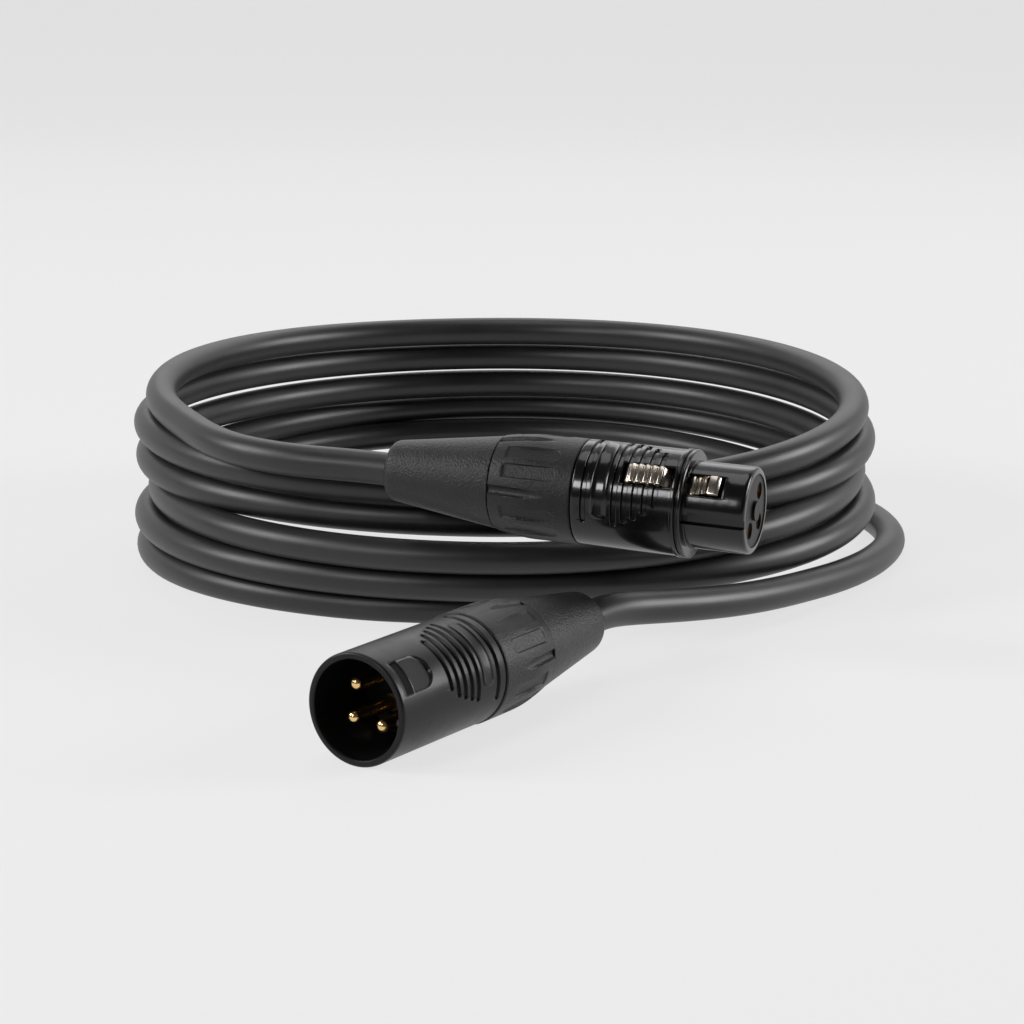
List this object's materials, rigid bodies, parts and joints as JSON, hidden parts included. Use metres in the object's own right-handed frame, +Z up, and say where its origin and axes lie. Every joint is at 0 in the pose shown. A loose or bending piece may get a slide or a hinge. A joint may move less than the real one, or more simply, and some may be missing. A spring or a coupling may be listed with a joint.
{
  "type": "xlr cable coil",
  "caption": "Microphone cable lying in a loose coil, with a female connector resting on its front and a male connector on the floor; latch, ring nuts and boots move.",
  "frame": {"origin": "middle of the box round the whole object, on the surface it lies on", "axes": "+Z up, -Y towards the side where both connectors lie, +X to the right seen from there"},
  "size_m": [0.161, 0.2561, 0.0395],
  "materials": {
    "jacket": "matt extruded jacket",
    "boot": "matt moulded rubber",
    "nut": "fine grained moulded plastic",
    "shell": "gloss black lacquer on die-cast metal",
    "chuck": "moulded plastic",
    "insert": "satin moulded plastic",
    "contact": "gold plated",
    "latch": "nickel plated",
    "spring": "bright spring wire",
    "core": "smooth core insulation",
    "shield": "twisted copper strands",
    "strip": "plain sheet"
  },
  "bodies": {
    "cable": {"cable_coil": "jacket", "cable_tail": "jacket", "female_shell": "shell", "female_chuck": "chuck", "female_insert": "insert", "female_contact_1": "contact", "female_contact_2": "contact", "female_contact_3": "contact", "latch_spring": "spring", "female_core_leads": "core", "female_shield_lead": "shield", "female_ground_strip": "strip", "male_shell": "shell", "male_chuck": "chuck", "male_insert": "insert", "male_pin_1": "contact", "male_pin_2": "contact", "male_pin_3": "contact", "male_core_leads": "core", "male_shield_lead": "shield", "male_ground_strip": "strip"},
    "latch": {"latch_lever": "latch"},
    "female_boot": {"female_boot": "boot"},
    "female_nut": {"female_nut": "nut"},
    "male_boot": {"male_boot": "boot"},
    "male_nut": {"male_nut": "nut"}
  },
  "joints": [
    {"name": "latch_press", "type": "hinge", "parent": "cable", "child": "latch", "pos_m": [0.02027, -0.05442, 0.03206], "axis": [0.2433, 0.5812, 0.7766], "range_deg": [0, 3.5], "stiffness_Nm_per_rad": 0.1, "springref_deg": -2.86},
    {"name": "female_boot_slide", "type": "slide", "parent": "cable", "child": "female_boot", "axis": [-0.939, 0.3418, 0.0384], "range_m": [0, 0.003]},
    {"name": "female_nut_turn", "type": "hinge", "parent": "female_boot", "child": "female_nut", "pos_m": [0.00407, -0.04455, 0.02975], "axis": [-0.939, 0.3418, 0.0384], "range_deg": [0, 720]},
    {"name": "male_boot_slide", "type": "slide", "parent": "cable", "child": "male_boot", "axis": [0.5505, 0.8348, 0.0052], "range_m": [0, 0.003]},
    {"name": "male_nut_turn", "type": "hinge", "parent": "male_boot", "child": "male_nut", "pos_m": [-0.00591, -0.09155, 0.00974], "axis": [0.5505, 0.8348, 0.0052], "range_deg": [0, 720]}
  ],
  "couplings": [
    {"joint": "female_nut_turn", "follows": "female_boot_slide", "rad_per_m": 4188.8},
    {"joint": "male_nut_turn", "follows": "male_boot_slide", "rad_per_m": 4188.8}
  ]
}
